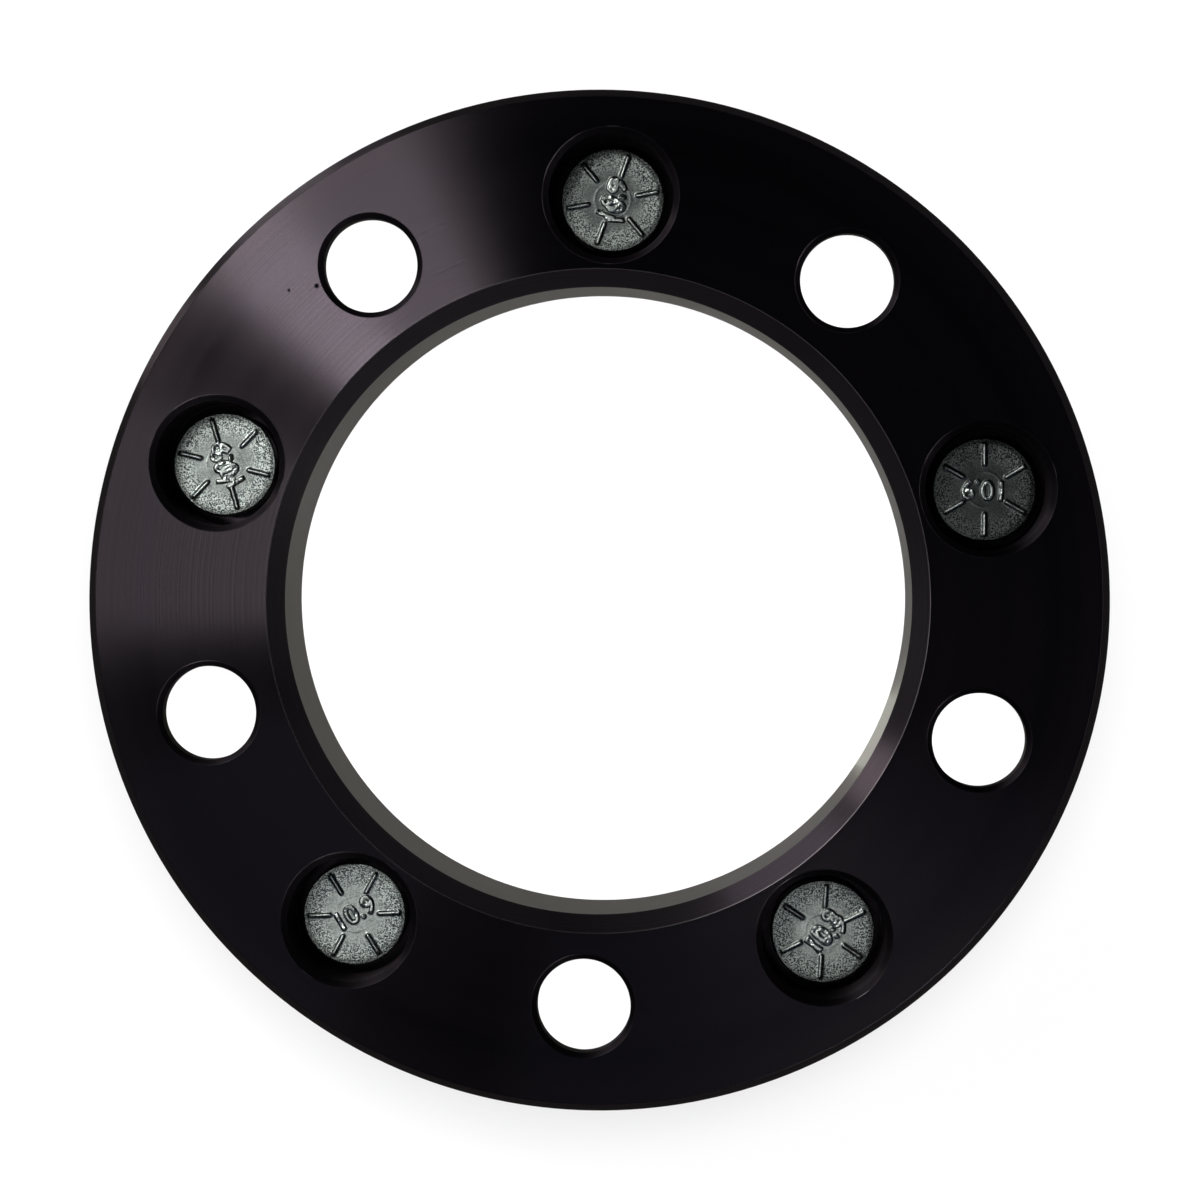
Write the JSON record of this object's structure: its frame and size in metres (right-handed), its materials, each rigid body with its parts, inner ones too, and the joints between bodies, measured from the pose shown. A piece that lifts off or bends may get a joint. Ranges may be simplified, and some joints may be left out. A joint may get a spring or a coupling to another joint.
{
  "type": "wheel spacer",
  "caption": "Flat black ring that bolts over a vehicle's hub studs and carries pressed-in studs of its own, so the wheel sits further out.",
  "frame": {"origin": "on the ring's axis, in the plane of the wheel face", "axes": "+Z along the ring's axis, out of the hub face, away from the stud tips; +Y towards the first stud"},
  "size_m": [0.176, 0.176, 0.058],
  "materials": {
    "black_anodised": "turned, with fine concentric tool marks, and black anodised",
    "zinc_steel": "cold headed, zinc plated, grey with a faint green cast"
  },
  "bodies": {
    "root": {"spacer_ring": "black_anodised", "wheel_stud_1": "zinc_steel", "wheel_stud_2": "zinc_steel", "wheel_stud_3": "zinc_steel", "wheel_stud_4": "zinc_steel", "wheel_stud_5": "zinc_steel"}
  },
  "joints": []
}
